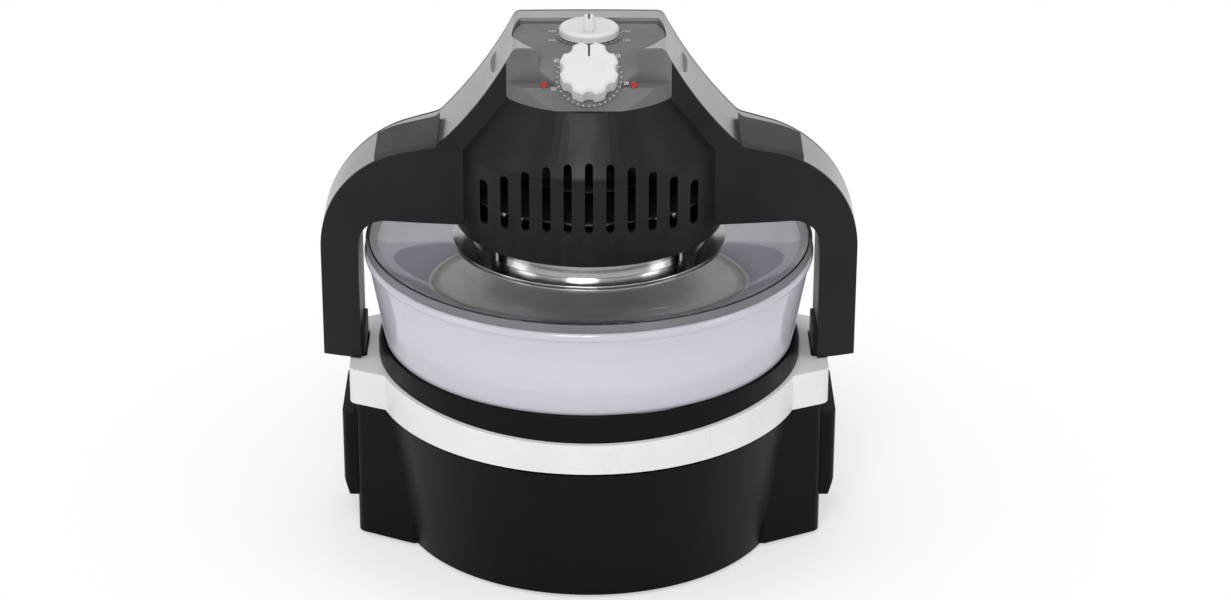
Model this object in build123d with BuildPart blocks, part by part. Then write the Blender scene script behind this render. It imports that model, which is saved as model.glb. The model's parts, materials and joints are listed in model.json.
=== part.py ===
from build123d import *
import os
from math import cos, hypot, radians, sin, sqrt, tan

os.makedirs("parts", exist_ok=True)

# Halogen oven with a hinged hood, in mm. Heights are over the table, and pieces are
# drawn about the bowl's upright axis, with -Y to the front and the hinge at +Y.

# Fits and gaps
running_clearance = 0.05  # radial, a pin or shaft in its bore
closed_gap = 0.5  # hood over base when shut
side_gap = 0.5  # beside the moving knuckle
pocket_gap = 2.0  # before and behind a latch tongue
pocket_side_gap = 1.2
plate_gap = 0.6  # knob over its dial plate
drop_gap = 0.4  # loose fit of a cover in its recess
screw_gap = 0.2
shaft_gap = 1.0  # a knob's shaft in the console's skin
small_break = 1.0  # broken edges
edge_break = 1.5

# Glass bowl
bowl_top = 216.0
bowl_bottom = 60.0
bowl_rim_radius = 159.5  # outside of the wall, level with the bead
bowl_lean = 10.0  # wall's lean from upright, degrees
bowl_wall = 5.0
bowl_corner = 32.0
bead_radius = 4.0

# Liner that carries the bowl, with the collar that shows above the band
liner_gap = 1.0
liner_wall = 2.5
collar_radius = 152.5
collar_top = 149.0
collar_round = 1.0
collar_lean = 1.5  # draws in over the top of the collar
collar_lean_height = 7.0
groove_top = 132.0

# Base
foot_height = 3.0
foot_radius = 11.0
foot_spread = (84.0, 72.0)
base_wall = 3.0
tub_bottom_radius = 139.5
tub_top_radius = 154.0
band_bottom = 107.0
lobe_reach = 168.0
lobe_half = 43.0
lobe_root = (128.0, 63.5)
shadow_gap = (2.0, 2.5)  # depth and height of the groove under the band
lobe_round = 8.0
cover_thickness = 3.0
post_width = 12.0
post_reach = 22.0
post_height = 36.0
post_angles = (50, 130, 230, 270, 310)
screw_radius = 2.0
screw_head = 4.0
screw_head_depth = 2.0
vent_count = 10
vent_ring = 50.0
vent_size = (36.0, 5.0)

# Silver band
band_top = 134.0
band_dip = 5.0  # how far its top edge falls towards front and back
band_radius = 155.8
band_wall = 2.5
flange_width = 6.5
deck_overhang = 4.0

# Side handles
handle_bottom = 30.0
handle_top = 96.0
handle_rise = 10.5  # how far a handle stands out from its lobe
handle_half = 38.0
handle_wall = 4.0
handle_bevel = 12.0
handle_round = 6.0
recess_depth = 16.0
recess_floor = 14.0

# Hinge
hinge_y = 182.0
hinge_z = 125.0
knuckle_radius = 16.0
knuckle_half = 30.0
ear_width = 12.0
ear_break = 2.0
pin_radius = 4.0
pin_head = 7.0
pin_head_depth = 3.0
bush_radius = 6.5
bush_length = 14.0
rear_half = 50.0
hinge_arm_top = 292.0
hinge_arm_bottom = 252.0
hinge_arm_corner = 38.0
hinge_arm_wall = 3.5
arm_under_corner = 8.0
arm_cover = 2.5
cover_seat = 5.0  # solid stretch of the arm over its knuckle

gland_height = 205.0
gland_radius = 9.0
gland_bore = 4.0
gland_rise = 8.0
gland_collar = 2.0

# Head
drum_radius = 96.0
drum_bottom = 236.0
drum_top = 300.0
cone_top = 340.0
head_wall = 3.0
head_break = 10.0  # rounding where the cone meets the drum
slot_count = 11
slot_pitch = 14.6
slot_width = 5.6
slot_top = 311.0
slot_bottom = 262.0
slot_top_fall = 23.0  # end slots start this much lower than the middle one
slot_bottom_fall = 7.0
rear_slots_from = 3  # rear slots nearer the middle would open under the hinge arm

# Console
disc_radius = 69.0
disc_height = 12.0
lobe_radius = 54.0
console_top = 372.0
console_wall = 2.5
console_rear = 24.0
facet_top = (-30.0, 372.0)
facet_bottom = (-62.0, 343.0)
console_round = 2.0
dial_plate = 0.8
front_plate_margin = 3.0
top_plate_margin = 2.0
lamp_radius = 2.5
lamp_rise = 1.0
lamp_across = 31.0
lamp_down = -6.0
timer_size = 28.0
timer_depth = 20.0
thermostat_size = 24.0

# Knobs
front_knob_radius = 20.5
front_knob_height = 14.0
scallops = 8
scallop_radius = 5.0
top_knob_radius = 21.0
top_knob_height = 6.0
top_knob_y = -2.0
grip_bar = (34.0, 7.0, 3.0)
knob_shaft = 3.0
knob_shaft_length = 16.0

# Arch
arch_over = 4.0  # bridge of the arch over the console's top
bridge_half = 52.0
flank_middle = (74.0, 340.0)
shoulder_start = (107.0, 302.0)
shoulder_fillet = 12.0
top_fillet = 6.0
shoulder_turn = 74.0  # degrees of the shoulder's round
arch_half = 191.3
arm_width = 27.3
arch_roof = 244.0
arch_roof_round = 21.0
arch_foot = 135.0
shoulder_radius = 81.0
shoulder_center = 218.0
arch_end = 23.7  # plan ellipse past the arms
arch_depth = 42.0  # plan ellipse, half its depth at the middle
trim_thickness = 2.5
trim_inset = 3.0
arch_wall = 3.5
cavity_inner = 112.0
arm_foot_depth = 22.0
grip_inner = 1.0  # start of a grip short of the shoulder's kink
grip_end = 40.8  # end of a grip short of the arm's outside
grip_rear = 15.0
grip_rise = 4.0
grip_edge = 1.0

# Latch tongues
tongue_step = 2.5  # tongue's inside face from the arm's
tongue_width = 8.0
tongue_taper = 2.0
tongue_half = 20.0
tongue_break = 3.0
pocket_round = 2.0
tongue_top = 153.0
tongue_bottom = 117.0

# Lid switch
reed_size = (6.0, 14.0, 5.0)
magnet_size = (8.0, 12.0, 6.0)

# Glass lid and what carries it
lid_thickness = 4.0
lid_radius = 158.0
lid_hole = 88.0
seal_thickness = 1.2
seal_lip = 2.0
seal_width = 7.0
ring_radius = 84.0
ring_wall = 1.2
ring_ceiling = 262.0
clamp_radius = 98.0
post_radius = 4.5
lid_post_radius = 91.0
lid_post_angle = 50.0

# Heating and air
tube_radius = 5.0
tube_ring = 58.0
tube_height = 234.0
tube_gap_angle = 24.0
holder_angles = (66, 114, 215, 325)
holder_margin = 2.0
holder_thickness = 5.0
guard_thickness = 1.6
guard_rings = 5
guard_bar = 2.4
guard_spokes = 6
fan_radius = 48.0
fan_blades = 10
fan_blade_height = 10.0
fan_plate_height = 253.0
cooling_radius = 46.0
cooling_blades = 12
cooling_height = 8.0
fan_hub = 9.0
blade_thickness = 1.5
blade_inset = 2.0
blade_lean = 12.0
shaft_end = 3.0
shaft_hole = 5.0
sensor_inset = 12.0
sensor_drop = 10.0
sensor_radius = 2.5
shield_height = 267.0
shield_thickness = 1.2
shield_foot_inset = 10.0
shield_foot_radius = 5.0
cooling_gap = 3.0
motor_radius = 26.0
motor_bottom = 290.0
motor_height = 30.0
rotor_radius = 14.0
rotor_gap = 0.6
rotor_end_gap = 1.0
shaft_radius = 3.0
motor_bush_radius = 6.0
motor_bush_length = 5.0
bracket_width = 20.0
bracket_half = 60.0
bracket_thickness = 2.0
bracket_foot = 8.0

# Rack and tray
rack_radius = 118.0
rack_wire = 2.5
rack_bars = 7
rack_pitch = 30.0
rack_legs = 3
rack_bar_radius = 2.0
rack_leg_radius = 96.0
rack_top = 155.0
tray_radius = 133.0
tray_wall = 1.2
tray_depth = 7.0

# Worked-out sizes
handle_reach = lobe_reach + handle_rise
arch_top = console_top + arch_over
arch_inner_half = arch_half - arm_width
arch_long = arch_half + arch_end
grip_from = shoulder_start[0] - grip_inner
grip_to = arch_half - grip_end
tongue_inner = arch_inner_half - tongue_step
ear_in = knuckle_half + side_gap
ear_out = ear_in + ear_width
lid_bottom = bowl_top + closed_gap + seal_thickness
lid_top = lid_bottom + lid_thickness
rear_reach = hinge_y + knuckle_radius
front_reach = bowl_rim_radius - bowl_wall / 2 + bead_radius
middle_y = (rear_reach + gland_rise - front_reach) / 2
to_origin = Location((0, -middle_y, 0))

facet_run = facet_top[0] - facet_bottom[0]
facet_rise = facet_top[1] - facet_bottom[1]
facet_length = hypot(facet_run, facet_rise)
facet = Plane(
    origin=(0, (facet_top[0] + facet_bottom[0]) / 2, (facet_top[1] + facet_bottom[1]) / 2),
    x_dir=(1, 0, 0),
    z_dir=(0, -facet_rise / facet_length, facet_run / facet_length),
)
top_dial = Plane((0, top_knob_y, console_top))
disc_bottom = cone_top
disc_top = disc_bottom + disc_height


def bowl_radius(height):
    """Outside radius of the bowl's leaning wall"""
    return bowl_rim_radius - (bowl_top - bead_radius - height) * tan(radians(bowl_lean))


def tub_radius(height):
    """Outside radius of the tub's round wall"""
    rise = (height - foot_height) / (band_bottom - foot_height)
    return tub_bottom_radius + rise * (tub_top_radius - tub_bottom_radius)


def upright(angle):
    """Upright plane through the bowl's axis, turned from +X by an angle in degrees"""
    turn = radians(angle)
    return Plane((0, 0, 0), x_dir=(cos(turn), sin(turn), 0), z_dir=(sin(turn), -cos(turn), 0))


def revolved(*points, mode=Mode.ADD):
    """Turns a closed outline of (radius, height) points about the upright axis"""
    with BuildSketch(Plane.XZ) as half:
        with BuildLine():
            Polyline(*points, close=True)
        make_face()
    revolve(half.sketch, axis=Axis.Z, mode=mode)


def disc(radius, low, high, hole=0.0, mode=Mode.ADD):
    """Flat round plate between two heights"""
    with BuildSketch(Plane.XY.offset(low)) as plan:
        Circle(radius)
        if hole:
            Circle(hole, mode=Mode.SUBTRACT)
    extrude(plan.sketch, amount=high - low, mode=mode)


def save(piece, name):
    """Moves a finished piece to the oven's origin and writes it"""
    piece.part.move(to_origin)
    piece.part.label = name
    export_step(piece.part, f"parts/{name}.step")


# Glass bowl: leaning wall, rounded corner and a round bead at the rim
with BuildPart() as glass_bowl:
    wall_top = bowl_top - bead_radius
    with BuildSketch(Plane.XZ):
        with BuildLine():
            outer_line = FilletPolyline(
                (0, bowl_bottom),
                (bowl_radius(bowl_bottom), bowl_bottom),
                (bowl_radius(wall_top), wall_top),
                radius=bowl_corner,
            )
            inner_line = FilletPolyline(
                (0, bowl_bottom + bowl_wall),
                (bowl_radius(bowl_bottom + bowl_wall) - bowl_wall, bowl_bottom + bowl_wall),
                (bowl_radius(wall_top) - bowl_wall, wall_top),
                radius=bowl_corner - bowl_wall,
            )
            Line(outer_line @ 0, inner_line @ 0)
            Line(outer_line @ 1, inner_line @ 1)
        make_face()
        with Locations((bowl_rim_radius - bowl_wall / 2, wall_top)):
            Circle(bead_radius)
    revolve(axis=Axis.Z)

# Liner: carries the bowl, with a collar folded down into the band
with BuildPart() as bowl_liner:
    skirt_bottom = band_bottom + cover_thickness
    skirt_in = collar_radius - liner_wall
    collar_lip = collar_radius - collar_lean
    with BuildSketch(Plane.XZ):
        with BuildLine():
            seat_line = FilletPolyline(
                (0, bowl_bottom),
                (bowl_radius(bowl_bottom) + liner_gap, bowl_bottom),
                (bowl_radius(collar_top) + liner_gap, collar_top),
                radius=bowl_corner,
            )
            under_line = FilletPolyline(
                (0, bowl_bottom - liner_wall),
                (bowl_radius(bowl_bottom) + liner_gap + liner_wall, bowl_bottom - liner_wall),
                (bowl_radius(groove_top) + liner_gap + liner_wall, groove_top),
                radius=bowl_corner + liner_wall,
            )
            Polyline(
                under_line @ 1,
                (skirt_in, groove_top),
                (skirt_in, skirt_bottom),
                (collar_radius, skirt_bottom),
                (collar_radius, collar_top - collar_lean_height),
                (collar_lip, collar_top - collar_round),
            )
            RadiusArc(
                (collar_lip, collar_top - collar_round),
                (collar_lip - collar_round, collar_top),
                -collar_round,
            )
            Line((collar_lip - collar_round, collar_top), seat_line @ 1)
            Line(seat_line @ 0, under_line @ 0)
        make_face()
    revolve(axis=Axis.Z)


def lobes(level, inset, grown=0.0):
    """Plan of both side lobes at a height, drawn in by inset, or grown past the tub's side"""
    reach = lobe_reach + grown - inset
    root_x = lobe_root[0]
    root_y = lobe_root[1] - inset
    half = lobe_half - inset
    with BuildSketch(Plane.XY.offset(level)) as plan:
        Polygon(
            (reach, -half),
            (reach, half),
            (root_x, root_y),
            (-root_x, root_y),
            (-reach, half),
            (-reach, -half),
            (-root_x, -root_y),
            (root_x, -root_y),
            align=None,
        )
        ends = plan.vertices().filter_by(lambda point: abs(point.X) > reach - 1)
        fillet(ends, lobe_round - inset)
    return plan.sketch


def rear_lobe(level, inset):
    """Plan of the lobe that carries the hinge, at a height"""
    with BuildSketch(Plane.XY.offset(level)) as plan:
        with Locations((0, (rear_reach - inset) / 2)):
            Rectangle(2 * (rear_half - inset), rear_reach - inset)
        ends = plan.vertices().filter_by(lambda point: point.Y > rear_reach - inset - 1)
        fillet(ends, lobe_round - inset)
    return plan.sketch


# Base tub: round leaning wall, two side lobes and a rear lobe under the hinge
with BuildPart() as base_tub:
    revolved(
        (0, foot_height),
        (tub_radius(foot_height), foot_height),
        (tub_radius(band_bottom), band_bottom),
        (0, band_bottom),
    )
    extrude(lobes(foot_height, 0), amount=band_bottom - foot_height)
    extrude(rear_lobe(foot_height, 0), amount=band_bottom - foot_height)
    with BuildSketch(Plane.XZ):
        with BuildLine():
            Polyline(
                (0, foot_height),
                (tub_radius(foot_height) - base_wall, foot_height),
                (tub_radius(band_bottom) - base_wall, band_bottom),
                (0, band_bottom),
                close=True,
            )
        make_face()
    revolve(axis=Axis.Z, mode=Mode.SUBTRACT)
    extrude(lobes(foot_height, base_wall), amount=band_bottom - foot_height, mode=Mode.SUBTRACT)
    rear_hollow = band_bottom - base_wall - foot_height
    extrude(rear_lobe(foot_height, base_wall), amount=rear_hollow, mode=Mode.SUBTRACT)
    # Groove that parts the tub from the band
    groove_depth, groove_height = shadow_gap
    groove_radius = tub_top_radius - groove_depth
    disc(band_radius, band_bottom - groove_height, band_bottom, groove_radius, Mode.SUBTRACT)
    # Finger recesses behind the side handles
    recess_top = handle_top - 2 * handle_wall
    recess_half = handle_half - handle_wall
    block_middle = lobe_reach - (recess_depth + base_wall) / 2
    with BuildSketch(Plane.XZ):
        with Locations(
            (block_middle, (recess_floor + recess_top) / 2),
            (-block_middle, (recess_floor + recess_top) / 2),
        ):
            Rectangle(recess_depth + base_wall, recess_top - recess_floor + 2 * base_wall)
    extrude(amount=recess_half + base_wall, both=True)
    with BuildSketch(Plane.XZ):
        with Locations(
            (lobe_reach - recess_depth / 2, (recess_floor + recess_top) / 2),
            (-lobe_reach + recess_depth / 2, (recess_floor + recess_top) / 2),
        ):
            Rectangle(recess_depth, recess_top - recess_floor)
    extrude(amount=recess_half, both=True, mode=Mode.SUBTRACT)
    # Posts for the bottom cover's screws
    post_bottom = foot_height + cover_thickness
    post_top = post_bottom + post_height
    for angle in post_angles:
        with BuildSketch(upright(angle)):
            Polygon(
                (tub_radius(post_bottom) - post_reach, post_bottom),
                (tub_radius(post_bottom) - base_wall / 2, post_bottom),
                (tub_radius(post_top) - base_wall / 2, post_top),
                (tub_radius(post_bottom) - post_reach, post_top),
                align=None,
            )
        extrude(amount=post_width / 2, both=True)


# Silver band: ring on the tub, flange inside, and a deck over each side lobe
with BuildPart() as band_ring:
    extrude(lobes(band_bottom, 0, deck_overhang), amount=band_top - band_bottom)
    # Hollow under the decks
    deck_room = band_top - band_wall - band_bottom
    extrude(lobes(band_bottom, band_wall, deck_overhang), amount=deck_room, mode=Mode.SUBTRACT)
    revolved(
        (collar_radius, band_bottom),
        (band_radius, band_bottom),
        (band_radius, band_top),
        (collar_radius, band_top),
    )
    with BuildSketch(Plane.XY.offset(band_bottom)):
        Circle(collar_radius)
    extrude(amount=band_top - band_bottom, mode=Mode.SUBTRACT)
    disc(collar_radius, band_bottom, band_bottom + cover_thickness, collar_radius - flange_width)
    # The top edge falls away from the decks towards front and back
    with BuildSketch(Plane.YZ):
        for side in (-1, 1):
            with BuildLine():
                dip = Spline(
                    (side * lobe_root[1], band_top),
                    (side * band_radius, band_top - band_dip),
                    tangents=[(side, 0), (side, -0.1)],
                )
                Polyline(
                    dip @ 1,
                    (side * (band_radius + 1), band_top - band_dip),
                    (side * (band_radius + 1), band_top + 1),
                    (side * lobe_root[1], band_top + 1),
                    dip @ 0,
                )
            make_face()
    extrude(amount=lobe_reach, both=True, mode=Mode.SUBTRACT)
    # Pockets for the latch tongues
    pocket_half = tongue_half + pocket_gap
    pocket_width = tongue_width + 2 * pocket_side_gap
    pocket_middle = tongue_inner + tongue_width / 2
    with BuildSketch(Plane.XY.offset(band_top)):
        with Locations((pocket_middle, 0), (-pocket_middle, 0)):
            RectangleRounded(pocket_width, 2 * pocket_half, pocket_round)
    extrude(amount=-2 * band_wall, mode=Mode.SUBTRACT)

# Bottom cover, let into the tub under the screw posts, with vent slots
screw_ring = tub_radius(foot_height) - post_reach / 2
with BuildPart() as bottom_cover:
    cover_inset = base_wall + drop_gap
    disc(tub_radius(foot_height) - cover_inset, foot_height, foot_height + cover_thickness)
    extrude(lobes(foot_height, cover_inset), amount=cover_thickness)
    extrude(rear_lobe(foot_height, cover_inset), amount=cover_thickness)
    with BuildSketch(Plane.XY.offset(foot_height)):
        with PolarLocations(vent_ring, vent_count):
            SlotOverall(vent_size[0], vent_size[1])
    extrude(amount=cover_thickness, mode=Mode.SUBTRACT)
    with BuildSketch(Plane.XY.offset(foot_height)):
        for angle in post_angles:
            with PolarLocations(screw_ring, 1, angle):
                Circle(screw_radius + screw_gap)
        with GridLocations(2 * foot_spread[0], 2 * foot_spread[1], 2, 2):
            Circle(foot_radius / 2)
    extrude(amount=cover_thickness, mode=Mode.SUBTRACT)

with BuildPart() as rubber_feet:
    with BuildSketch(Plane.XY):
        with GridLocations(2 * foot_spread[0], 2 * foot_spread[1], 2, 2):
            Circle(foot_radius)
    extrude(amount=foot_height)
    chamfer(rubber_feet.faces().filter_by(Axis.Z).group_by(Axis.Z)[0].edges(), small_break)
    with BuildSketch(Plane.XY.offset(foot_height)):
        with GridLocations(2 * foot_spread[0], 2 * foot_spread[1], 2, 2):
            Circle(foot_radius / 2)
    extrude(amount=cover_thickness)

with BuildPart() as base_screws:
    for angle in post_angles:
        with BuildSketch(Plane.XY.offset(foot_height)):
            with PolarLocations(screw_ring, 1, angle):
                Circle(screw_head)
        extrude(amount=-screw_head_depth)
        with BuildSketch(Plane.XY.offset(foot_height)):
            with PolarLocations(screw_ring, 1, angle):
                Circle(screw_radius)
        extrude(amount=cover_thickness)


def side_handle(side):
    """Grip over a finger recess, open underneath"""
    with BuildSketch(Plane.XZ) as front:
        Polygon(
            (side * lobe_reach, handle_bottom),
            (side * (handle_reach - handle_wall), handle_bottom),
            (side * handle_reach, handle_bottom + handle_bevel),
            (side * handle_reach, handle_top),
            (side * lobe_reach, handle_top),
            align=None,
        )
    extrude(front.sketch, amount=handle_half, both=True)


with BuildPart() as side_handle_left:
    side_handle(-1)
    fillet(side_handle_left.faces().sort_by(Axis.X)[0].edges().filter_by(Axis.Z), handle_round)
    with Locations((-lobe_reach, 0, handle_bottom)):
        Box(
            2 * (handle_rise - handle_wall),
            2 * (handle_half - handle_wall),
            2 * (handle_top - 2 * handle_wall - handle_bottom),
            mode=Mode.SUBTRACT,
        )

with BuildPart() as side_handle_right:
    add(mirror(side_handle_left.part, about=Plane.YZ))


def hinge_ear(side):
    """Upright ear beside the knuckle, standing on the rear lobe"""
    with BuildSketch(Plane.YZ.offset(side * ear_in)) as outline:
        with Locations((hinge_y, hinge_z)):
            Circle(knuckle_radius)
        with Locations((hinge_y, (hinge_z + band_bottom) / 2)):
            Rectangle(2 * knuckle_radius, hinge_z - band_bottom)
        with Locations((hinge_y, hinge_z)):
            Circle(pin_radius, mode=Mode.SUBTRACT)
    extrude(outline.sketch, amount=side * ear_width)


with BuildPart() as hinge_ear_left:
    hinge_ear(-1)
    ear_curves = hinge_ear_left.faces().sort_by(Axis.X)[0].edges().filter_by(GeomType.CIRCLE)
    chamfer(ear_curves.sort_by(SortBy.RADIUS)[-1], ear_break)

with BuildPart() as hinge_ear_right:
    add(mirror(hinge_ear_left.part, about=Plane.YZ))

with BuildPart() as hinge_pin:
    with BuildSketch(Plane.YZ.offset(-ear_out)):
        with Locations((hinge_y, hinge_z)):
            Circle(pin_radius)
    extrude(amount=2 * ear_out)
    for side in (-1, 1):
        with BuildSketch(Plane.YZ.offset(side * ear_out)):
            with Locations((hinge_y, hinge_z)):
                Circle(pin_head)
        extrude(amount=side * pin_head_depth)
    chamfer(hinge_pin.faces().sort_by(Axis.X)[0].edges(), small_break)
    chamfer(hinge_pin.faces().sort_by(Axis.X)[-1].edges(), small_break)

with BuildPart() as hinge_bushes:
    for side in (-1, 1):
        with BuildSketch(Plane.YZ.offset(side * knuckle_half)):
            with Locations((hinge_y, hinge_z)):
                Circle(bush_radius)
                Circle(pin_radius + running_clearance, mode=Mode.SUBTRACT)
        extrude(amount=-side * bush_length)

# Hinge arm: hollow moulding from the back of the head down to its knuckle
arm_front = hinge_y - knuckle_radius
arm_cover_bottom = hinge_z + 2 * knuckle_radius


def arm_outline(outer_inset, inner_inset):
    """Side outline of the hinge arm, drawn in on its rear and front sides"""
    with BuildLine() as outline:
        over = FilletPolyline(
            (0, hinge_arm_top - outer_inset),
            (rear_reach - outer_inset, hinge_arm_top - outer_inset),
            (rear_reach - outer_inset, hinge_z),
            radius=hinge_arm_corner - outer_inset,
        )
        under = FilletPolyline(
            (0, hinge_arm_bottom + inner_inset),
            (arm_front + inner_inset, hinge_arm_bottom + inner_inset),
            (arm_front + inner_inset, hinge_z),
            radius=arm_under_corner,
        )
        Line(over @ 0, under @ 0)
        Line(over @ 1, under @ 1)
    make_face(outline.edges())


with BuildPart() as hinge_arm_cover:
    with BuildSketch(Plane.YZ):
        with BuildLine():
            FilletPolyline(
                (drum_radius / 2, hinge_arm_top - arm_cover / 2),
                (rear_reach - arm_cover / 2, hinge_arm_top - arm_cover / 2),
                (rear_reach - arm_cover / 2, arm_cover_bottom),
                radius=hinge_arm_corner - arm_cover / 2,
            )
        trace(line_width=arm_cover)
    extrude(amount=knuckle_half - hinge_arm_wall / 2, both=True)
    disc(drum_radius, drum_bottom, arch_top, mode=Mode.SUBTRACT)
    # Round hole for the cord's gland
    gland = Plane((0, rear_reach, gland_height), x_dir=(1, 0, 0), z_dir=(0, 1, 0))
    with BuildSketch(gland):
        Circle(gland_radius)
    extrude(amount=-2 * arm_cover, mode=Mode.SUBTRACT)

with BuildPart() as hinge_arm:
    with BuildSketch(Plane.YZ):
        arm_outline(0, 0)
        with Locations((hinge_y, hinge_z)):
            Circle(knuckle_radius)
    extrude(amount=knuckle_half, both=True)
    with BuildSketch(Plane.YZ):
        arm_outline(arm_cover, hinge_arm_wall)
        with Locations((hinge_y, hinge_z)):
            solid_rise = arm_cover_bottom + cover_seat - hinge_z
            Rectangle(4 * knuckle_radius, 2 * solid_rise, mode=Mode.SUBTRACT)
    extrude(amount=knuckle_half - hinge_arm_wall, both=True, mode=Mode.SUBTRACT)
    disc(drum_radius, drum_bottom, arch_top, mode=Mode.SUBTRACT)
    with BuildSketch(Plane.YZ):
        with BuildLine():
            FilletPolyline(
                (drum_radius / 2, hinge_arm_top - arm_cover / 2),
                (rear_reach - arm_cover / 2, hinge_arm_top - arm_cover / 2),
                (rear_reach - arm_cover / 2, arm_cover_bottom),
                radius=hinge_arm_corner - arm_cover / 2,
            )
        trace(line_width=arm_cover)
    extrude(amount=knuckle_half - hinge_arm_wall / 2, both=True, mode=Mode.SUBTRACT)
    with BuildSketch(Plane.YZ):
        with Locations((hinge_y, hinge_z)):
            Circle(bush_radius)
    extrude(amount=knuckle_half, both=True, mode=Mode.SUBTRACT)

with BuildPart() as cord_gland:
    with BuildSketch(gland.offset(-arm_cover)):
        Circle(gland_radius)
        Circle(gland_bore, mode=Mode.SUBTRACT)
    extrude(amount=arm_cover)
    with BuildSketch(gland):
        Circle(gland_radius + gland_collar)
        Circle(gland_bore, mode=Mode.SUBTRACT)
    extrude(amount=gland_rise)
    chamfer(cord_gland.faces().sort_by(Axis.Y)[-1].edges(), small_break)

# Head: drum with upright slots under a cone, all one moulding
slot_middle = (slot_count - 1) / 2
with BuildPart() as head_shell:
    revolved(
        (0, drum_bottom),
        (drum_radius, drum_bottom),
        (drum_radius, drum_top),
        (disc_radius, cone_top),
        (0, cone_top),
    )
    fillet(head_shell.edges().filter_by(GeomType.CIRCLE).sort_by(Axis.Z)[1], head_break)
    chamfer(head_shell.edges().filter_by(GeomType.CIRCLE).sort_by(Axis.Z)[0], edge_break)
    revolved(
        (0, drum_bottom),
        (drum_radius - head_wall, drum_bottom),
        (drum_radius - head_wall, drum_top),
        (disc_radius - head_wall, cone_top - head_wall),
        (0, cone_top - head_wall),
        mode=Mode.SUBTRACT,
    )
    disc(disc_radius - 3 * head_wall, cone_top - head_wall, cone_top, mode=Mode.SUBTRACT)
    for index in range(slot_count):
        across = (index - slot_middle) * slot_pitch
        share = ((index - slot_middle) / slot_middle) ** 2
        high = slot_top - share * slot_top_fall
        low = slot_bottom - share * slot_bottom_fall
        with BuildSketch(Plane.XZ):
            with Locations((across, (high + low) / 2)):
                SlotOverall(high - low, slot_width, rotation=90)
        extrude(amount=drum_radius, mode=Mode.SUBTRACT)
        if abs(index - slot_middle) >= rear_slots_from:
            with BuildSketch(Plane.XZ):
                with Locations((across, (high + low) / 2)):
                    SlotOverall(high - low, slot_width, rotation=90)
            extrude(amount=-drum_radius, mode=Mode.SUBTRACT)

with BuildPart() as head_floor:
    disc(drum_radius - head_wall, drum_bottom, drum_bottom + head_wall, ring_radius)


def console_block(inset):
    """Console's solid form, drawn in by inset from every outer face"""
    disc(disc_radius - inset, disc_bottom, disc_top - inset)
    disc(lobe_radius - inset, disc_bottom, console_top - inset)
    split(bisect_by=facet.offset(-inset), keep=Keep.BOTTOM)
    with BuildSketch(Plane.XY.offset(disc_top - inset)) as behind:
        with Locations((0, console_rear - inset + lobe_radius)):
            Rectangle(2 * lobe_radius, 2 * lobe_radius)
    extrude(behind.sketch, amount=console_top, mode=Mode.SUBTRACT)


with BuildPart() as console_core:
    console_block(console_wall)

with BuildPart() as console_housing:
    console_block(0)
    rim = console_housing.faces().sort_by(Axis.Z)[-1].edges().filter_by(GeomType.CIRCLE)
    fillet(rim, console_round)
    add(console_core.part, mode=Mode.SUBTRACT)
    for dial in (facet, top_dial):
        with BuildSketch(dial):
            Circle(knob_shaft + shaft_gap)
        extrude(amount=-2 * console_wall, mode=Mode.SUBTRACT)
    with BuildSketch(facet):
        with Locations((-lamp_across, lamp_down), (lamp_across, lamp_down)):
            Circle(lamp_radius)
    extrude(amount=-2 * console_wall, mode=Mode.SUBTRACT)

with BuildPart() as indicator_lamps:
    with BuildSketch(facet.offset(-console_wall)):
        with Locations((-lamp_across, lamp_down), (lamp_across, lamp_down)):
            Circle(lamp_radius)
    extrude(amount=console_wall + lamp_rise)

with BuildPart() as front_dial_plate:
    with BuildSketch(facet):
        Circle(front_knob_radius + front_plate_margin)
        Circle(knob_shaft + shaft_gap, mode=Mode.SUBTRACT)
    extrude(amount=dial_plate)

with BuildPart() as top_dial_plate:
    with BuildSketch(top_dial):
        Circle(top_knob_radius + top_plate_margin)
        Circle(knob_shaft + shaft_gap, mode=Mode.SUBTRACT)
    extrude(amount=dial_plate)


def switch_body(dial, size, depth):
    """Square switch behind a dial, bored for its knob's shaft"""
    with BuildSketch(dial.offset(-console_wall)) as case:
        RectangleRounded(size, size, console_round)
    extrude(case.sketch, amount=-depth)
    with BuildSketch(dial.offset(-console_wall)) as bore:
        Circle(knob_shaft + running_clearance)
    extrude(bore.sketch, amount=-knob_shaft_length, mode=Mode.SUBTRACT)


with BuildPart() as timer_body:
    switch_body(facet, timer_size, timer_depth)

with BuildPart() as thermostat_body:
    switch_body(top_dial, thermostat_size, timer_depth)

# Knobs, each on a shaft that runs down into its switch
shaft_reach = dial_plate + plate_gap + console_wall + knob_shaft_length - shaft_gap
with BuildPart() as timer_knob:
    with BuildSketch(facet.offset(dial_plate + plate_gap)):
        Circle(front_knob_radius)
        with PolarLocations(front_knob_radius + scallop_radius / 2, scallops):
            Circle(scallop_radius, mode=Mode.SUBTRACT)
    extrude(amount=front_knob_height)
    chamfer(timer_knob.faces().sort_by(Axis((0, 0, 0), facet.z_dir))[-1].edges(), edge_break)

with BuildPart() as timer_shaft:
    with BuildSketch(facet.offset(dial_plate + plate_gap)):
        Circle(knob_shaft)
    extrude(amount=-shaft_reach)

with BuildPart() as thermostat_knob:
    with BuildSketch(top_dial.offset(dial_plate + plate_gap)):
        Circle(top_knob_radius)
    extrude(amount=top_knob_height)
    chamfer(thermostat_knob.faces().sort_by(Axis.Z)[-1].edges(), edge_break)
    with BuildSketch(top_dial.offset(dial_plate + plate_gap + top_knob_height)):
        SlotOverall(grip_bar[0], grip_bar[1], rotation=90)
    extrude(amount=grip_bar[2])

with BuildPart() as thermostat_shaft:
    with BuildSketch(top_dial.offset(dial_plate + plate_gap)):
        Circle(knob_shaft)
    extrude(amount=-shaft_reach)


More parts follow.
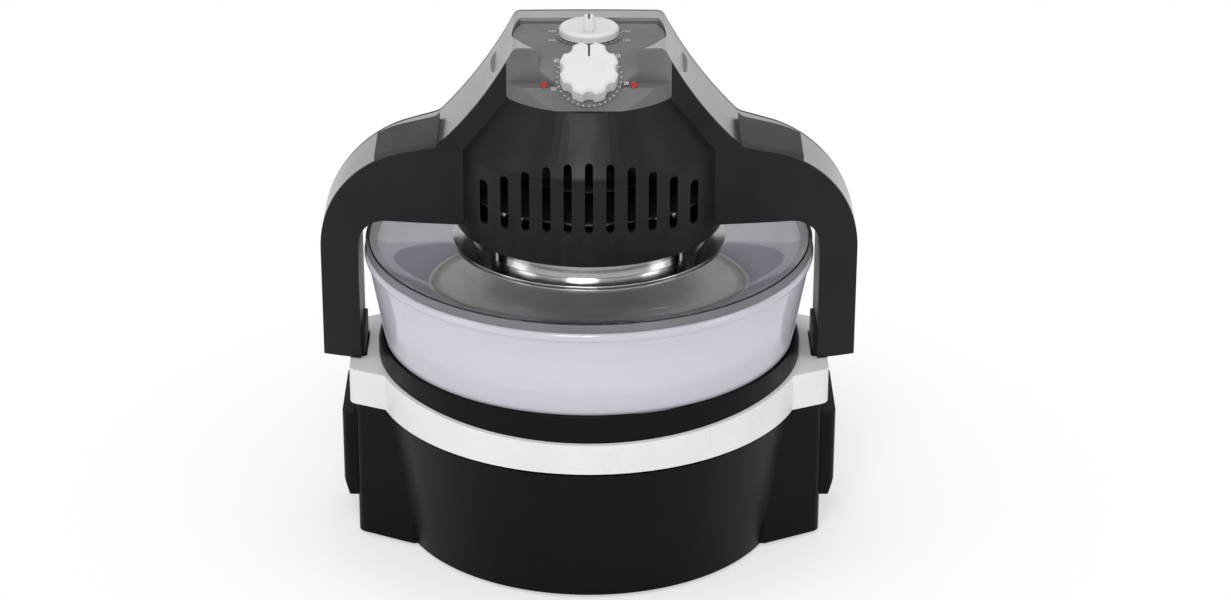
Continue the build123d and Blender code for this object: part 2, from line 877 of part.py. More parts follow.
# Arch: two hollow arms, closed above by a silver trim let into them
def arch_outline(grown):
    """Front outline under the arch's outer curve, which grown moves outwards"""
    with BuildSketch(Plane.XZ) as whole:
        with BuildLine():
            for side in (-1, 1):
                flank = ThreePointArc(
                    (side * bridge_half, arch_top), (side * flank_middle[0], flank_middle[1]),
                    (side * shoulder_start[0], shoulder_start[1]),
                )
                turn = radians(shoulder_turn)
                center = arch_half - shoulder_radius
                round_start = (
                    side * (center + shoulder_radius * cos(turn)),
                    shoulder_center + shoulder_radius * sin(turn),
                )
                Line(flank @ 1, round_start)
                mid = turn / 2
                ThreePointArc(
                    round_start,
                    (
                        side * (center + shoulder_radius * cos(mid)),
                        shoulder_center + shoulder_radius * sin(mid),
                    ),
                    (side * arch_half, shoulder_center),
                )
                Line((side * arch_half, shoulder_center), (side * arch_half, 0))
            Line((-bridge_half, arch_top), (bridge_half, arch_top))
            Line((-arch_half, 0), (arch_half, 0))
        make_face()
        kinks = whole.vertices().filter_by(
            lambda point: abs(abs(point.X) - shoulder_start[0]) < 1 and point.Y > shoulder_center
        )
        fillet(kinks, shoulder_fillet)
        tops = whole.vertices().filter_by(lambda point: abs(point.Y - arch_top) < 1)
        fillet(tops, top_fillet)
        if grown:
            offset(amount=grown, mode=Mode.REPLACE)
    return whole.sketch


def ellipse_depth(inset):
    """Trims the part to the arch's plan, drawn in by inset"""
    with BuildSketch(Plane.XY) as plan:
        Ellipse(arch_long - inset, arch_depth - inset)
    extrude(plan.sketch, amount=2 * arch_top, mode=Mode.INTERSECT)


outer_curve = arch_outline(0)
under_trim = arch_outline(-trim_thickness)
grip_curve = arch_outline(grip_rise)

# The room that the head and the console take out of the arch
with BuildPart() as console_room:
    disc(lobe_radius, cone_top, 2 * arch_top)
    with BuildSketch(Plane.XY.offset(cone_top)):
        with Locations((0, console_rear + lobe_radius)):
            Rectangle(2 * lobe_radius, 2 * lobe_radius)
    extrude(amount=2 * arch_top, mode=Mode.SUBTRACT)

with BuildPart() as head_room:
    revolved(
        (0, drum_bottom),
        (drum_radius, drum_bottom),
        (drum_radius, drum_top),
        (disc_radius, cone_top),
        (disc_radius, disc_top),
        (0, disc_top),
    )
    add(console_room.part)

with BuildPart() as below_foot:
    with BuildSketch(Plane.XY):
        Rectangle(4 * arch_half, 4 * arch_depth)
    extrude(amount=arch_foot)

with BuildPart() as arch_trim:
    extrude(outer_curve, amount=arch_depth, both=True)
    extrude(under_trim, amount=arch_depth, both=True, mode=Mode.SUBTRACT)
    ellipse_depth(trim_inset)
    add(below_foot.part, mode=Mode.SUBTRACT)
    add(head_room.part, mode=Mode.SUBTRACT)


def opening_sketch(grown):
    """Opening under the arch, as seen from the front"""
    with BuildSketch(Plane.XZ) as gap:
        with Locations((0, (arch_roof + grown) / 2)):
            Rectangle(2 * (arch_inner_half + grown), arch_roof + grown)
        uppers = gap.vertices().filter_by(lambda point: point.Y > arch_roof / 2)
        fillet(uppers, arch_roof_round + grown)
    return gap.sketch


def latch_tongue(side):
    """Tapered tongue from the arm's foot down into the deck's pocket"""
    with BuildSketch(Plane.XZ) as front:
        Polygon(
            (side * tongue_inner, tongue_top),
            (side * (tongue_inner + tongue_width), tongue_top),
            (side * (tongue_inner + tongue_width), arch_foot),
            (side * (tongue_inner + tongue_width - tongue_taper), tongue_bottom),
            (side * (tongue_inner + tongue_taper), tongue_bottom),
            (side * tongue_inner, arch_foot),
            align=None,
        )
    extrude(front.sketch, amount=tongue_half, both=True)


with BuildPart() as latch_tongue_left:
    latch_tongue(-1)
    chamfer(latch_tongue_left.faces().sort_by(Axis.Z)[0].edges().filter_by(Axis.X), tongue_break)

with BuildPart() as latch_tongue_right:
    add(mirror(latch_tongue_left.part, about=Plane.YZ))

with BuildPart() as arm_hollow:
    extrude(under_trim, amount=arch_depth, both=True)
    extrude(opening_sketch(arch_wall), amount=arch_depth, both=True, mode=Mode.SUBTRACT)
    with BuildSketch(Plane.XZ):
        Rectangle(4 * arch_half, 2 * (arch_foot + arm_foot_depth))
        with Locations((0, arch_top / 2)):
            Rectangle(2 * cavity_inner, arch_top)
    extrude(amount=arch_depth, both=True, mode=Mode.SUBTRACT)
    ellipse_depth(trim_inset + arch_wall / 2)

with BuildPart() as arch_frame:
    extrude(outer_curve, amount=arch_depth, both=True)
    extrude(opening_sketch(0), amount=arch_depth, both=True, mode=Mode.SUBTRACT)
    add(below_foot.part, mode=Mode.SUBTRACT)
    ellipse_depth(0)
    add(arm_hollow.part, mode=Mode.SUBTRACT)
    add(arch_trim.part, mode=Mode.SUBTRACT)
    add(latch_tongue_left.part, mode=Mode.SUBTRACT)
    add(latch_tongue_right.part, mode=Mode.SUBTRACT)
    add(head_room.part, mode=Mode.SUBTRACT)

with BuildPart() as shoulder_grip_left:
    extrude(grip_curve, amount=arch_depth, both=True)
    extrude(outer_curve, amount=arch_depth, both=True, mode=Mode.SUBTRACT)
    ellipse_depth(0)
    with BuildSketch(Plane.XY):
        with Locations((-(grip_from + grip_to) / 2, (grip_rear - arch_depth) / 2)):
            Rectangle(grip_to - grip_from, grip_rear + arch_depth)
    extrude(amount=arch_top, mode=Mode.INTERSECT)
    upper = shoulder_grip_left.faces().sort_by(SortBy.AREA)[-2:].sort_by(Axis.Z)[-1]
    fillet(upper.edges(), grip_edge)

with BuildPart() as shoulder_grip_right:
    add(mirror(shoulder_grip_left.part, about=Plane.YZ))

# Reed switch in the left arm and the magnet under the left deck that holds it closed
switch_foot = arch_foot + arm_foot_depth
with BuildPart() as reed_switch:
    with BuildSketch(Plane.XY.offset(switch_foot)):
        with Locations((-(arch_inner_half + arch_half) / 2, tongue_half - reed_size[1])):
            Rectangle(reed_size[0], reed_size[1])
    extrude(amount=reed_size[2])

with BuildPart() as lid_magnet:
    with BuildSketch(Plane.XY.offset(band_top - band_wall)):
        with Locations((-pocket_middle, pocket_half + band_wall + magnet_size[1] / 2)):
            Rectangle(magnet_size[0], magnet_size[1])
    extrude(amount=-magnet_size[2])

# Glass lid, clamped between the heater ring's flange and a ring below
with BuildPart() as glass_lid:
    disc(lid_radius, lid_bottom, lid_top, lid_hole)
    fillet(glass_lid.edges().filter_by(GeomType.CIRCLE).sort_by(SortBy.RADIUS)[-2:], lid_thickness / 3)

with BuildPart() as lid_seal:
    revolved(
        (lid_radius - seal_width, lid_bottom - seal_thickness),
        (lid_radius + seal_lip, lid_bottom - seal_thickness),
        (lid_radius + seal_lip, lid_top),
        (lid_radius, lid_top),
        (lid_radius, lid_bottom),
        (lid_radius - seal_width, lid_bottom),
    )

with BuildPart() as clamp_ring:
    disc(clamp_radius, lid_bottom - ring_wall, lid_bottom, ring_radius)

with BuildPart() as heater_ring:
    flange_top = lid_top + ring_wall
    revolved(
        (shaft_hole, ring_ceiling),
        (shaft_hole, ring_ceiling + ring_wall),
        (ring_radius, ring_ceiling + ring_wall),
        (ring_radius, flange_top),
        (clamp_radius, flange_top),
        (clamp_radius, lid_top),
        (ring_radius - ring_wall, lid_top),
        (ring_radius - ring_wall, ring_ceiling),
    )

with BuildPart() as lid_posts:
    for angle in (90 - lid_post_angle, 90 + lid_post_angle, 270 - lid_post_angle, 270 + lid_post_angle):
        with BuildSketch(Plane.XY.offset(flange_top)):
            with PolarLocations(lid_post_radius, 1, angle):
                Circle(post_radius)
        extrude(amount=drum_bottom - flange_top)

with BuildPart() as heater_guard:
    with BuildSketch(Plane.XY.offset(flange_top)):
        Circle(ring_radius - ring_wall)
        ring_step = (ring_radius - ring_wall) / (guard_rings + 0.5)
        for index in range(guard_rings):
            outside = ring_radius - ring_wall - index * ring_step - guard_bar
            inside = max(outside - ring_step + guard_bar, 0)
            with BuildSketch(Plane.XY.offset(flange_top), mode=Mode.PRIVATE) as gaps:
                Circle(outside)
                if inside:
                    Circle(inside, mode=Mode.SUBTRACT)
                for spoke in range(guard_spokes):
                    Rectangle(2 * outside, guard_bar, rotation=spoke * 180 / guard_spokes, mode=Mode.SUBTRACT)
            add(gaps.sketch, mode=Mode.SUBTRACT)
    extrude(amount=guard_thickness)

# Halogen tube: ring with a gap where its ends turn up into their holders
with BuildPart() as halogen_tube:
    with BuildLine():
        CenterArc((0, 0, tube_height), tube_ring, 90 + tube_gap_angle / 2, 360 - tube_gap_angle)
    with BuildSketch(upright(90 + tube_gap_angle / 2)):
        with Locations((tube_ring, tube_height)):
            Circle(tube_radius)
    sweep()

with BuildPart() as tube_holders:
    for angle in holder_angles:
        with BuildSketch(upright(angle)):
            with Locations((tube_ring, (tube_height + ring_ceiling) / 2)):
                Rectangle(2 * (tube_radius + holder_margin), ring_ceiling - tube_height)
        extrude(amount=holder_thickness / 2, both=True)
    add(halogen_tube.part, mode=Mode.SUBTRACT)


def blades(count, outside, low, high):
    """Leaning fan blades round the hub"""
    inside = fan_hub - blade_thickness
    for index in range(count):
        with BuildSketch(Plane.XY.offset(low)) as plan:
            with PolarLocations((inside + outside) / 2, 1, index * 360 / count):
                Rectangle(outside - inside, blade_thickness, rotation=blade_lean)
        extrude(plan.sketch, amount=high - low)


with BuildPart() as convection_fan:
    disc(fan_radius, fan_plate_height, fan_plate_height + ring_wall)
    blade_foot = fan_plate_height - fan_blade_height
    disc(fan_hub, blade_foot, fan_plate_height)
    blades(fan_blades, fan_radius - blade_inset, blade_foot, fan_plate_height)
    disc(shaft_radius, 0, arch_top, mode=Mode.SUBTRACT)

cooling_bottom = shield_height + shield_thickness + cooling_gap
with BuildPart() as cooling_fan:
    disc(fan_hub, cooling_bottom, cooling_bottom + cooling_height)
    blades(cooling_blades, cooling_radius - blade_inset, cooling_bottom, cooling_bottom + cooling_height)
    disc(cooling_radius, cooling_bottom, cooling_bottom + ring_wall)
    disc(shaft_radius, 0, arch_top, mode=Mode.SUBTRACT)

motor_top = motor_bottom + motor_height
with BuildPart() as fan_shaft:
    disc(shaft_radius, blade_foot - shaft_end, motor_top + shaft_end)

with BuildPart() as motor_rotor:
    rotor_low = motor_bottom + motor_bush_length
    rotor_high = motor_top - motor_bush_length
    disc(rotor_radius, rotor_low + rotor_end_gap, rotor_high - rotor_end_gap, shaft_radius)

with BuildPart() as motor_body:
    disc(motor_radius, motor_bottom, motor_top, motor_bush_radius)
    disc(rotor_radius + rotor_gap, rotor_low, rotor_high, mode=Mode.SUBTRACT)
    fillet(motor_body.edges().filter_by(GeomType.CIRCLE).sort_by(SortBy.RADIUS)[-2:], edge_break)

with BuildPart() as motor_bushes:
    disc(motor_bush_radius, motor_bottom, motor_bottom + motor_bush_length, shaft_radius + running_clearance)
    disc(motor_bush_radius, motor_top - motor_bush_length, motor_top, shaft_radius + running_clearance)

with BuildPart() as motor_bracket:
    shield_top = shield_height + shield_thickness
    with BuildSketch(Plane.XZ):
        Polygon(
            (-bracket_half - bracket_foot, shield_top),
            (-bracket_half - bracket_foot, shield_top + bracket_thickness),
            (-bracket_half, shield_top + bracket_thickness),
            (-bracket_half, motor_bottom),
            (bracket_half, motor_bottom),
            (bracket_half, shield_top + bracket_thickness),
            (bracket_half + bracket_foot, shield_top + bracket_thickness),
            (bracket_half + bracket_foot, shield_top),
            (bracket_half - bracket_thickness, shield_top),
            (bracket_half - bracket_thickness, motor_bottom - bracket_thickness),
            (-bracket_half + bracket_thickness, motor_bottom - bracket_thickness),
            (-bracket_half + bracket_thickness, shield_top),
            align=None,
        )
    extrude(amount=bracket_width / 2, both=True)
    disc(motor_bush_radius, shield_top, motor_bottom, mode=Mode.SUBTRACT)

# Heat shield, standing off the heater ring's ceiling on four raised feet
with BuildPart() as heat_shield:
    disc(drum_radius - head_wall, shield_height, shield_top, shaft_hole)
    with BuildSketch(Plane.XY.offset(ring_ceiling + ring_wall)):
        with PolarLocations(ring_radius - shield_foot_inset, 4, 45):
            Circle(shield_foot_radius)
    extrude(amount=shield_height - ring_ceiling - ring_wall)

# Thermostat's sensor, let down through the heater ring's ceiling
with BuildPart() as heat_sensor:
    with BuildSketch(Plane.XY.offset(ring_ceiling - sensor_drop)):
        with Locations((0, ring_radius - sensor_inset)):
            Circle(sensor_radius)
    extrude(amount=sensor_drop)

# Wire rack: a hoop of eight-sided wire, cross bars and legs down to the bowl's floor
with BuildPart() as wire_rack:
    rack_height = rack_top - rack_wire
    with BuildSketch(upright(0)):
        with Locations((rack_radius, rack_height)):
            RegularPolygon(rack_wire, 8, rotation=22.5)
    revolve(axis=Axis.Z)
    for index in range(rack_bars):
        across = (index - (rack_bars - 1) / 2) * rack_pitch
        half = sqrt(rack_radius**2 - across**2)
        with BuildSketch(Plane.XZ):
            with Locations((across, rack_height)):
                Circle(rack_bar_radius)
        extrude(amount=half, both=True)
    for index in range(rack_legs):
        angle = 90 + index * 360 / rack_legs
        with BuildSketch(Plane.XY.offset(bowl_bottom + bowl_wall)):
            with PolarLocations(rack_leg_radius, 1, angle):
                Circle(rack_wire)
        extrude(amount=rack_height - bowl_bottom - bowl_wall)
        with BuildSketch(upright(angle)):
            with Locations(((rack_leg_radius + rack_radius) / 2, rack_height)):
                Rectangle(rack_radius - rack_leg_radius, 2 * rack_bar_radius)
        extrude(amount=rack_bar_radius, both=True)

with BuildPart() as cooking_tray:
    revolved(
        (0, rack_top),
        (tray_radius - tray_depth / 2, rack_top),
        (tray_radius, rack_top + tray_depth),
        (tray_radius - tray_wall, rack_top + tray_depth),
        (tray_radius - tray_depth / 2 - tray_wall, rack_top + tray_wall),
        (0, rack_top + tray_wall),
    )

save(glass_bowl, "glass_bowl")
save(bowl_liner, "bowl_liner")
save(base_tub, "base_tub")
save(band_ring, "band_ring")
save(bottom_cover, "bottom_cover")
save(rubber_feet, "rubber_feet")
save(base_screws, "base_screws")
save(side_handle_left, "side_handle_left")
save(side_handle_right, "side_handle_right")
save(hinge_ear_left, "hinge_ear_left")
save(hinge_ear_right, "hinge_ear_right")
save(hinge_pin, "hinge_pin")
save(wire_rack, "wire_rack")
save(cooking_tray, "cooking_tray")
save(lid_magnet, "lid_magnet")
save(hinge_bushes, "hinge_bushes")
save(hinge_arm, "hinge_arm")
save(hinge_arm_cover, "hinge_arm_cover")
save(cord_gland, "cord_gland")
save(head_shell, "head_shell")
save(head_floor, "head_floor")
save(console_housing, "console_housing")
save(front_dial_plate, "front_dial_plate")
save(top_dial_plate, "top_dial_plate")
save(indicator_lamps, "indicator_lamps")
save(timer_body, "timer_body")
save(thermostat_body, "thermostat_body")
save(arch_frame, "arch_frame")
save(arch_trim, "arch_trim")
save(shoulder_grip_left, "shoulder_grip_left")
save(shoulder_grip_right, "shoulder_grip_right")
save(latch_tongue_left, "latch_tongue_left")
save(latch_tongue_right, "latch_tongue_right")
save(reed_switch, "reed_switch")
save(glass_lid, "glass_lid")
save(lid_seal, "lid_seal")
save(clamp_ring, "clamp_ring")
save(heater_ring, "heater_ring")
save(lid_posts, "lid_posts")
save(heater_guard, "heater_guard")
save(halogen_tube, "halogen_tube")
save(tube_holders, "tube_holders")
save(heat_shield, "heat_shield")
save(heat_sensor, "heat_sensor")
save(motor_body, "motor_body")
save(motor_bushes, "motor_bushes")
save(motor_bracket, "motor_bracket")
save(convection_fan, "convection_fan")
save(cooling_fan, "cooling_fan")
save(fan_shaft, "fan_shaft")
save(motor_rotor, "motor_rotor")
save(timer_knob, "timer_knob")
save(timer_shaft, "timer_shaft")
save(thermostat_knob, "thermostat_knob")
save(thermostat_shaft, "thermostat_shaft")
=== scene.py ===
import json
import math

import bmesh
import bpy
import numpy as np
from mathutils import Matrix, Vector


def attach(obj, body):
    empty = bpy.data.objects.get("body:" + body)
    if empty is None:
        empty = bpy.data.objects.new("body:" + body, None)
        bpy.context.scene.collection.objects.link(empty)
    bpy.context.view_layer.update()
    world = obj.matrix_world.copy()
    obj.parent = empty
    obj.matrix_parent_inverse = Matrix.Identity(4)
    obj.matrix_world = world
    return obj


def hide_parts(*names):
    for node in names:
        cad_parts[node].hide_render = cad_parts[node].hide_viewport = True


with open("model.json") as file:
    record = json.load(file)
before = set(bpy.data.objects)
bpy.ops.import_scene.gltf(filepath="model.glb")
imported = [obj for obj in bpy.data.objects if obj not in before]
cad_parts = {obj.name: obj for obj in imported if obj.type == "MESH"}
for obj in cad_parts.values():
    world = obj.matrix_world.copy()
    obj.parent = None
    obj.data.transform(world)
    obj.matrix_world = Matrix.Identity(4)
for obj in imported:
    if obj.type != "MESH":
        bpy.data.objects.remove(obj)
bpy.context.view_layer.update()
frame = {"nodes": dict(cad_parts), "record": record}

nodes = frame["nodes"]
bodyOf = {name: body for body, names in frame["record"]["behaviour"]["bodies"].items() for name in names}

# The bowl's upright axis stands a little in front of the origin.
# Settings of the pieces are in millimetres and degrees, those of the studio in metres.
millimetre = 0.001
bowlAxis = np.array([0.0, -22.5, 0.0])

newFinish = {"merge": 1e-6, "sliver": 1e-7, "smooth": 40}
cadFinish = {"merge": 4e-6, "sliver": 1e-6, "flat": 0.6, "crease": 28, "steps": 2}


def newPiece(name, mesh, body, material, stands=()):
    # one finished object at the origin, riding on its body and standing for the CAD nodes named
    piece = bpy.data.objects.new(name, mesh)
    bpy.context.scene.collection.objects.link(piece)
    mesh.materials.clear()
    mesh.materials.append(material)
    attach(piece, body)
    if stands:
        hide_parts(*stands)
    return piece


def shaded(mesh, angle):
    # smooth shading, with edges sharp where two faces meet at more than the angle
    mesh.polygons.foreach_set("use_smooth", np.ones(len(mesh.polygons), bool))
    mesh.set_sharp_from_angle(angle=math.radians(angle))


def meshFrom(name, points, faces):
    # points in millimetres about the bowl's axis; doubles are merged and faces turned outwards
    mesh = bpy.data.meshes.new(name)
    mesh.from_pydata(((points + bowlAxis) * millimetre).tolist(), [], faces.tolist())
    form = bmesh.new()
    form.from_mesh(mesh)
    bmesh.ops.remove_doubles(form, verts=form.verts, dist=newFinish["merge"])
    bmesh.ops.dissolve_degenerate(form, edges=form.edges, dist=newFinish["sliver"])
    bmesh.ops.recalc_face_normals(form, faces=form.faces)
    form.to_mesh(mesh)
    form.free()
    shaded(mesh, newFinish["smooth"])
    return mesh


def gridFaces(rows, columns, closeRows, closeColumns):
    # quads of a grid of points: each joins a point to the next in its row and in its column
    i = np.arange(rows if closeRows else rows - 1)[:, None]
    j = np.arange(columns if closeColumns else columns - 1)[None, :]
    a = i * columns + j
    b = i * columns + (j + 1) % columns
    c = ((i + 1) % rows) * columns + (j + 1) % columns
    d = ((i + 1) % rows) * columns + j
    return np.stack([a, b, c, d], axis=-1).reshape(-1, 4)


def softCorners(corners, radius, steps, closed=True):
    # each corner p becomes the curve (1-t)^2 a + 2t(1-t) p + t^2 b,
    # with a and b a radius away along its two sides, or just under half the shorter side
    p = np.asarray(corners, float)
    toBefore = np.roll(p, 1, 0) - p
    toAfter = np.roll(p, -1, 0) - p
    lengthBefore = np.linalg.norm(toBefore, axis=1, keepdims=True)
    lengthAfter = np.linalg.norm(toAfter, axis=1, keepdims=True)
    r = np.broadcast_to(np.asarray(radius, float).reshape(-1, 1), (len(p), 1))
    r = np.minimum(r, 0.48 * np.minimum(lengthBefore, lengthAfter))
    a = p + toBefore / lengthBefore * r
    b = p + toAfter / lengthAfter * r
    t = np.linspace(0, 1, steps)[None, :, None]
    curve = (1 - t) ** 2 * a[:, None] + 2 * t * (1 - t) * p[:, None] + t**2 * b[:, None]
    if closed:
        return curve.reshape(-1, 2)
    return np.vstack([p[:1], curve[1:-1].reshape(-1, 2), p[-1:]])


def turned(name, profile, segments, closed=True):
    # surface of revolution: point (r, z) of the profile goes to (r cos v, r sin v, z)
    profile = np.asarray(profile, float)
    v = np.linspace(0, 2 * math.pi, segments, endpoint=False)
    r, z = profile[:, 0][:, None], profile[:, 1][:, None]
    points = np.stack([r * np.cos(v), r * np.sin(v), z + 0 * v], axis=-1)
    return meshFrom(name, points.reshape(-1, 3), gridFaces(len(profile), segments, closed, True))


def carried(name, path, normals, section):
    # tube: section point (a, b) at path point p goes to p + a n + b m, n the given normal made square
    # to the path and m square to both; each end closes on the path's own end point
    along = np.gradient(path, axis=0)
    along /= np.linalg.norm(along, axis=1, keepdims=True)
    n = normals - np.sum(normals * along, axis=1, keepdims=True) * along
    n /= np.linalg.norm(n, axis=1, keepdims=True)
    m = np.cross(along, n)
    rings = path[:, None] + section[None, :, :1] * n[:, None] + section[None, :, 1:] * m[:, None]
    ends = np.broadcast_to(path[[0, -1]][:, None], (2, len(section), 3))
    rings = np.concatenate([ends[:1], rings, ends[1:]])
    return meshFrom(name, rings.reshape(-1, 3), gridFaces(len(rings), len(section), False, True))


def ringSection(radius, sides):
    # circle of the tube's own radius: point u goes to (radius cos u, radius sin u)
    u = np.linspace(0, 2 * math.pi, sides, endpoint=False)
    return np.stack([radius * np.cos(u), radius * np.sin(u)], axis=-1)


def softened(node, material, edge):
    # a copy of the CAD node's mesh with doubles merged, flat faces joined and hard edges rounded by a bevel
    mesh = nodes[node].data.copy()
    form = bmesh.new()
    form.from_mesh(mesh)
    bmesh.ops.remove_doubles(form, verts=form.verts, dist=cadFinish["merge"])
    bmesh.ops.dissolve_degenerate(form, edges=form.edges, dist=cadFinish["sliver"])
    flat = math.radians(cadFinish["flat"])
    bmesh.ops.dissolve_limit(form, angle_limit=flat, verts=form.verts, edges=form.edges)
    form.to_mesh(mesh)
    form.free()
    shaded(mesh, cadFinish["crease"])
    first, *others = node.split("_")
    name = first + "".join(word.capitalize() for word in others)
    piece = newPiece(name, mesh, bodyOf[node], material, stands=(node,))
    if edge:
        bevel = piece.modifiers.new("edges", "BEVEL")
        bevel.width = edge * millimetre
        bevel.segments = cadFinish["steps"]
        bevel.limit_method = "ANGLE"
        bevel.angle_limit = math.radians(cadFinish["crease"])
        bevel.harden_normals = True
        bevel.use_clamp_overlap = True


def startMaterial(name):
    # a new material whose only nodes are its shader and its output
    material = bpy.data.materials.new(name)
    material.use_nodes = True
    tree = material.node_tree
    tree.nodes.clear()
    out = tree.nodes.new("ShaderNodeOutputMaterial")
    shader = tree.nodes.new("ShaderNodeBsdfPrincipled")
    tree.links.new(shader.outputs[0], out.inputs[0])
    return material, tree, shader


def objectNoise(tree, scale, detail, stretch=(1, 1, 1), roughness=0.55):
    # noise on Object coordinates, drawn out along an axis where the stretch is small; scale is cells per metre
    coordinates = tree.nodes.new("ShaderNodeTexCoord")
    mapping = tree.nodes.new("ShaderNodeMapping")
    mapping.inputs["Scale"].default_value = stretch
    noise = tree.nodes.new("ShaderNodeTexNoise")
    noise.inputs["Scale"].default_value = scale
    noise.inputs["Detail"].default_value = detail
    noise.inputs["Roughness"].default_value = roughness
    tree.links.new(coordinates.outputs["Object"], mapping.inputs["Vector"])
    tree.links.new(mapping.outputs[0], noise.inputs["Vector"])
    return noise.outputs["Fac"]


def spread(tree, value, low, high, fromLow=0.3, fromHigh=0.7):
    # maps a noise value to a range: fromLow goes to low and fromHigh to high
    ranged = tree.nodes.new("ShaderNodeMapRange")
    ranged.inputs["From Min"].default_value = fromLow
    ranged.inputs["From Max"].default_value = fromHigh
    ranged.inputs["To Min"].default_value = low
    ranged.inputs["To Max"].default_value = high
    tree.links.new(value, ranged.inputs["Value"])
    return ranged.outputs["Result"]


def twoTone(tree, value, dark, light):
    # mixes two close colours by a value from 0 to 1
    mix = tree.nodes.new("ShaderNodeMix")
    mix.data_type = "RGBA"
    mix.inputs["A"].default_value = (*dark, 1)
    mix.inputs["B"].default_value = (*light, 1)
    tree.links.new(value, mix.inputs["Factor"])
    return mix.outputs["Result"]


def bumped(tree, shader, value, strength, distance):
    # tilts the shading as if the surface rose by the value times the distance, in metres
    bump = tree.nodes.new("ShaderNodeBump")
    bump.inputs["Strength"].default_value = strength
    bump.inputs["Distance"].default_value = distance
    tree.links.new(value, bump.inputs["Height"])
    tree.links.new(bump.outputs[0], shader.inputs["Normal"])


def mixedShaders(tree, share, first, second, out):
    # the output shows the first shader, and the second in its place by the share from 0 to 1
    mix = tree.nodes.new("ShaderNodeMixShader")
    tree.links.new(share, mix.inputs[0])
    tree.links.new(first.outputs[0], mix.inputs[1])
    tree.links.new(second.outputs[0], mix.inputs[2])
    tree.links.new(mix.outputs[0], out.inputs[0])


plastic = {"clouds": 22, "wipe": 60, "wipeStretch": (1, 1, 0.35), "smoother": 0.88, "rougher": 1.14, "bump": 0.25}


def mouldedPlastic(name, dark, light, roughness, grain, grainDepth, specular=0.4):
    # two close tones in broad clouds, a fine moulded grain as bump, and roughness that varies with wiping
    material, tree, shader = startMaterial(name)
    clouds = objectNoise(tree, plastic["clouds"], 3)
    fine = objectNoise(tree, grain, 2)
    wipe = spread(
        tree, objectNoise(tree, plastic["wipe"], 5, plastic["wipeStretch"]),
        roughness * plastic["smoother"], roughness * plastic["rougher"],
    )
    tree.links.new(twoTone(tree, spread(tree, clouds, 0, 1), dark, light), shader.inputs["Base Color"])
    tree.links.new(wipe, shader.inputs["Roughness"])
    shader.inputs["Specular IOR Level"].default_value = specular
    bumped(tree, shader, fine, plastic["bump"], grainDepth)
    return material


metal = {"clouds": 14, "smoother": 0.8, "rougher": 1.3, "bump": 0.2, "streakDepth": 0.00002}


def brightMetal(name, dark, light, roughness, streak, scale):
    # metal with fine drawn streaks in its roughness and bump, and faint clouding in its tone
    material, tree, shader = startMaterial(name)
    clouds = objectNoise(tree, metal["clouds"], 3)
    lines = objectNoise(tree, scale, 3, streak)
    uneven = spread(tree, lines, roughness * metal["smoother"], roughness * metal["rougher"])
    tree.links.new(twoTone(tree, spread(tree, clouds, 0, 1), dark, light), shader.inputs["Base Color"])
    tree.links.new(uneven, shader.inputs["Roughness"])
    shader.inputs["Metallic"].default_value = 1.0
    bumped(tree, shader, lines, metal["bump"], metal["streakDepth"])
    return material


glass = {
    "ior": 1.47, "haze": 9, "through": 0.40, "vary": 0.03, "gloss": 0.03, "smear": 18,
    "bowlVeil": (0.55, 0.55, 0.60), "clearVeil": (0.94, 0.94, 0.95),
}


def lightThrough(tree, shader, tint):
    # lamps shine through the glass: its shadow rays meet a plain tinted veil instead of the glass
    out = next(node for node in tree.nodes if node.type == "OUTPUT_MATERIAL")
    veil = tree.nodes.new("ShaderNodeBsdfTransparent")
    veil.inputs["Color"].default_value = (*tint, 1)
    path = tree.nodes.new("ShaderNodeLightPath")
    mixedShaders(tree, path.outputs["Is Shadow Ray"], shader, veil, out)


def bowlGlassMaterial(name, milk, clear):
    # pale toughened glass: part of the light goes through, the rest is scattered as a soft milky tone
    material, tree, shader = startMaterial(name)
    haze = objectNoise(tree, glass["haze"], 3)
    through = spread(tree, haze, glass["through"] - glass["vary"], glass["through"] + glass["vary"])
    tree.links.new(twoTone(tree, spread(tree, haze, 0, 1), milk, clear), shader.inputs["Base Color"])
    shader.inputs["Roughness"].default_value = glass["gloss"]
    shader.inputs["IOR"].default_value = glass["ior"]
    tree.links.new(through, shader.inputs["Transmission Weight"])
    lightThrough(tree, shader, glass["bowlVeil"])
    return material


def clearGlassMaterial(name, tint):
    # clear glass with a trace of smearing in its roughness
    material, tree, shader = startMaterial(name)
    smear = objectNoise(tree, glass["smear"], 4)
    shader.inputs["Base Color"].default_value = (*tint, 1)
    tree.links.new(spread(tree, smear, 0.0, glass["gloss"]), shader.inputs["Roughness"])
    shader.inputs["IOR"].default_value = glass["ior"]
    shader.inputs["Transmission Weight"].default_value = 1.0
    lightThrough(tree, shader, glass["clearVeil"])
    return material


# Each finish has its dark and its light tone; grain and scale are cells per metre, grainDepth is in metres
blackSatin = mouldedPlastic(
    "blackSatin", (0.007, 0.007, 0.0075), (0.011, 0.011, 0.012),
    roughness=0.40, grain=900, grainDepth=0.00004, specular=0.22,
)
blackGloss = mouldedPlastic(
    "blackGloss", (0.003, 0.003, 0.0033), (0.0045, 0.0045, 0.005),
    roughness=0.32, grain=700, grainDepth=0.00002, specular=0.11,
)
consoleGrey = mouldedPlastic(
    "consoleGrey", (0.12, 0.12, 0.122), (0.16, 0.16, 0.162),
    roughness=0.42, grain=800, grainDepth=0.00004, specular=0.35,
)
gripRubber = mouldedPlastic(
    "gripRubber", (0.035, 0.035, 0.036), (0.055, 0.055, 0.056),
    roughness=0.62, grain=1400, grainDepth=0.00008, specular=0.3,
)
sealRubber = mouldedPlastic(
    "sealRubber", (0.16, 0.16, 0.175), (0.20, 0.20, 0.215),
    roughness=0.5, grain=900, grainDepth=0.00003, specular=0.3,
)
